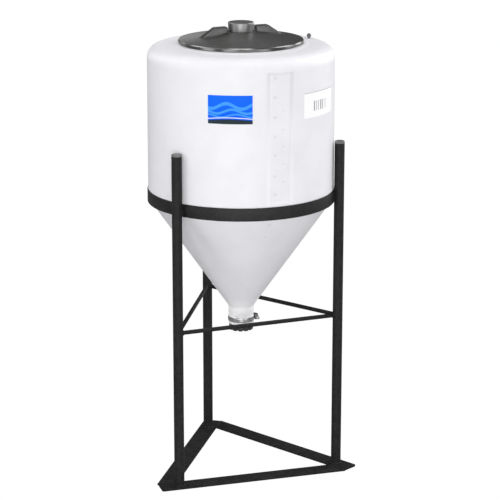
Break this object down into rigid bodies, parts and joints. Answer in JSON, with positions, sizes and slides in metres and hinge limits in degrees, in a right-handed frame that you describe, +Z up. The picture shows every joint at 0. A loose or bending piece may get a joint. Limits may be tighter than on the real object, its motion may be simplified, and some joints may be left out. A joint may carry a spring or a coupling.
{
  "type": "cone bottom tank with stand",
  "caption": "White plastic cone bottom tank with a dark screw lid and vent cap, hung by a flat steel band in a black tubular stand on a flat bar base, with a capped outlet neck.",
  "frame": {"origin": "middle of the footprint's box on the floor, at the underside of the base bars; the tank's own axis is at x 0.0070, y -0.0423", "axes": "+Z up along the tank; -Y is the front, between the two front legs, and the third leg is at +Y"},
  "size_m": [0.6822, 0.7006, 1.5],
  "materials": {
    "tank_plastic": "white translucent polyethylene, satin",
    "lid_plastic": "dark grey moulded plastic, satin",
    "black_paint": "satin black paint on steel",
    "black_plastic": "black moulded plastic",
    "stainless": "bright stainless steel"
  },
  "bodies": {
    "tank_and_stand": {"barrel_front": "tank_plastic", "barrel_right": "tank_plastic", "barrel_back": "tank_plastic", "barrel_left": "tank_plastic", "cone_front": "tank_plastic", "cone_right": "tank_plastic", "cone_back": "tank_plastic", "cone_left": "tank_plastic", "tank_top": "tank_plastic", "manway_collar": "tank_plastic", "outlet_neck": "tank_plastic", "tether_stud": "black_plastic", "leg_back": "black_paint", "leg_front_left": "black_paint", "leg_front_right": "black_paint", "leg_cap_back": "black_plastic", "leg_cap_front_left": "black_plastic", "leg_cap_front_right": "black_plastic", "band_front": "black_paint", "band_right": "black_paint", "band_left": "black_paint", "brace_front": "black_paint", "brace_right": "black_paint", "brace_left": "black_paint", "base_bar_front": "black_paint", "base_bar_right": "black_paint", "base_bar_left": "black_paint", "clamp_strap": "stainless", "clamp_housing": "stainless", "clamp_screw": "stainless", "drain_cap": "black_plastic"},
    "lid": {"lid_plate": "lid_plastic", "lid_rib_right": "lid_plastic", "lid_rib_left": "lid_plastic", "vent_cap": "lid_plastic"}
  },
  "joints": [
    {"name": "lid_lift", "type": "slide", "parent": "tank_and_stand", "child": "lid", "axis": [0, 0, 1], "range_m": [0, 0.3]}
  ]
}
